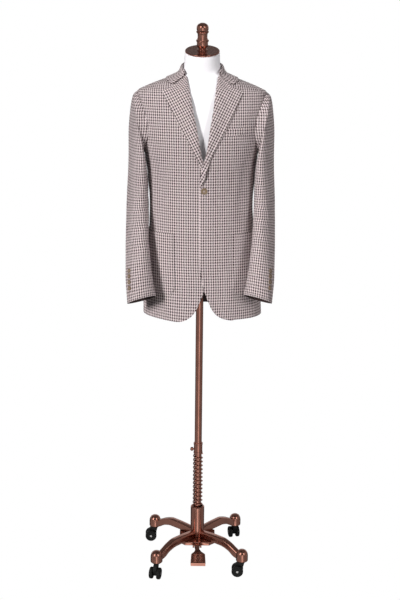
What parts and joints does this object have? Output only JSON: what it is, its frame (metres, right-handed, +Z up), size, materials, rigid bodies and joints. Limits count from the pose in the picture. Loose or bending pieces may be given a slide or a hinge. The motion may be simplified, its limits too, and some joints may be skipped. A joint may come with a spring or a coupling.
{
  "type": "sport coat on a dress form stand",
  "caption": "Single-breasted notch-lapel sport coat in a small check, worn by a limbless dress form on a sliding pole with a sprung collar, arched legs and castors.",
  "frame": {"origin": "on the floor under the middle of the pole", "axes": "+Z up along the pole, -Y the way the coat's front faces, +X to the wearer's left"},
  "size_m": [0.4924, 0.3866, 1.853],
  "materials": {
    "check_cloth": "matte",
    "white_cloth": "matte",
    "horn": "satin",
    "bronze": "polished",
    "black_plastic": "satin",
    "steel": "satin"
  },
  "bodies": {
    "base": {"hub": "bronze", "leg_fr": "bronze", "leg_br": "bronze", "leg_bl": "bronze", "leg_fl": "bronze", "base_plate": "bronze", "spring": "bronze"},
    "mast": {"pole": "bronze", "pole_collar": "bronze"},
    "torso": {"form": "white_cloth", "neck_cap": "bronze", "finial": "bronze", "front_left": "check_cloth", "side_left": "check_cloth", "back_left": "check_cloth", "lapel_left": "check_cloth", "pocket_left": "check_cloth", "sleeve_top_left": "check_cloth", "sleeve_under_left": "check_cloth", "front_right": "check_cloth", "side_right": "check_cloth", "back_right": "check_cloth", "lapel_right": "check_cloth", "pocket_right": "check_cloth", "sleeve_top_right": "check_cloth", "sleeve_under_right": "check_cloth", "collar": "check_cloth", "pocket_breast": "check_cloth", "button_front": "horn", "button_cuff_left_1": "horn", "button_cuff_left_2": "horn", "button_cuff_left_3": "horn", "button_cuff_left_4": "horn", "button_cuff_right_1": "horn", "button_cuff_right_2": "horn", "button_cuff_right_3": "horn", "button_cuff_right_4": "horn"},
    "screw": {"thumb_screw": "bronze"},
    "pedal": {"pedal": "bronze"},
    "castor_fr": {"fork_fr": "black_plastic"},
    "wheels_fr": {"axle_fr": "steel", "wheel_fr_a": "black_plastic", "wheel_fr_b": "black_plastic"},
    "castor_br": {"fork_br": "black_plastic"},
    "wheels_br": {"axle_br": "steel", "wheel_br_a": "black_plastic", "wheel_br_b": "black_plastic"},
    "castor_bl": {"fork_bl": "black_plastic"},
    "wheels_bl": {"axle_bl": "steel", "wheel_bl_a": "black_plastic", "wheel_bl_b": "black_plastic"},
    "castor_fl": {"fork_fl": "black_plastic"},
    "wheels_fl": {"axle_fl": "steel", "wheel_fl_a": "black_plastic", "wheel_fl_b": "black_plastic"}
  },
  "joints": [
    {"name": "mast_slide", "type": "slide", "parent": "base", "child": "mast", "axis": [0, 0, 1], "range_m": [-0.1, 0], "deforming": ["spring"]},
    {"name": "torso_turn", "type": "hinge", "parent": "mast", "child": "torso", "pos_m": [0, 0, 1], "axis": [0, 0, 1], "continuous": true},
    {"name": "screw_turn", "type": "hinge", "parent": "mast", "child": "screw", "pos_m": [-0.02, 0, 0.408], "axis": [-1, 0, 0], "continuous": true},
    {"name": "pedal_press", "type": "hinge", "parent": "base", "child": "pedal", "pos_m": [0, -0.07, 0.076], "axis": [1, 0, 0], "range_deg": [0, 8], "stiffness_Nm_per_rad": 2, "springref_deg": -11.46},
    {"name": "swivel_fr", "type": "hinge", "parent": "base", "child": "castor_fr", "pos_m": [0.15469, -0.13831, 0.06], "axis": [0, 0, 1], "continuous": true},
    {"name": "roll_fr", "type": "hinge", "parent": "castor_fr", "child": "wheels_fr", "pos_m": [0.1397, -0.13778, 0.02011], "axis": [-0.0349, -0.9994, 0], "continuous": true},
    {"name": "swivel_br", "type": "hinge", "parent": "base", "child": "castor_br", "pos_m": [0.13831, 0.15469, 0.06], "axis": [0, 0, 1], "continuous": true},
    {"name": "roll_br", "type": "hinge", "parent": "castor_br", "child": "wheels_br", "pos_m": [0.13468, 0.16924, 0.02011], "axis": [-0.9703, -0.2419, 0], "continuous": true},
    {"name": "swivel_bl", "type": "hinge", "parent": "base", "child": "castor_bl", "pos_m": [-0.15469, 0.13831, 0.06], "axis": [0, 0, 1], "continuous": true},
    {"name": "roll_bl", "type": "hinge", "parent": "castor_bl", "child": "wheels_bl", "pos_m": [-0.16968, 0.13778, 0.02011], "axis": [0.0349, -0.9994, 0], "continuous": true},
    {"name": "swivel_fl", "type": "hinge", "parent": "base", "child": "castor_fl", "pos_m": [-0.13831, -0.15469, 0.06], "axis": [0, 0, 1], "continuous": true},
    {"name": "roll_fl", "type": "hinge", "parent": "castor_fl", "child": "wheels_fl", "pos_m": [-0.14193, -0.16924, 0.02011], "axis": [0.9703, -0.2419, 0], "continuous": true}
  ]
}
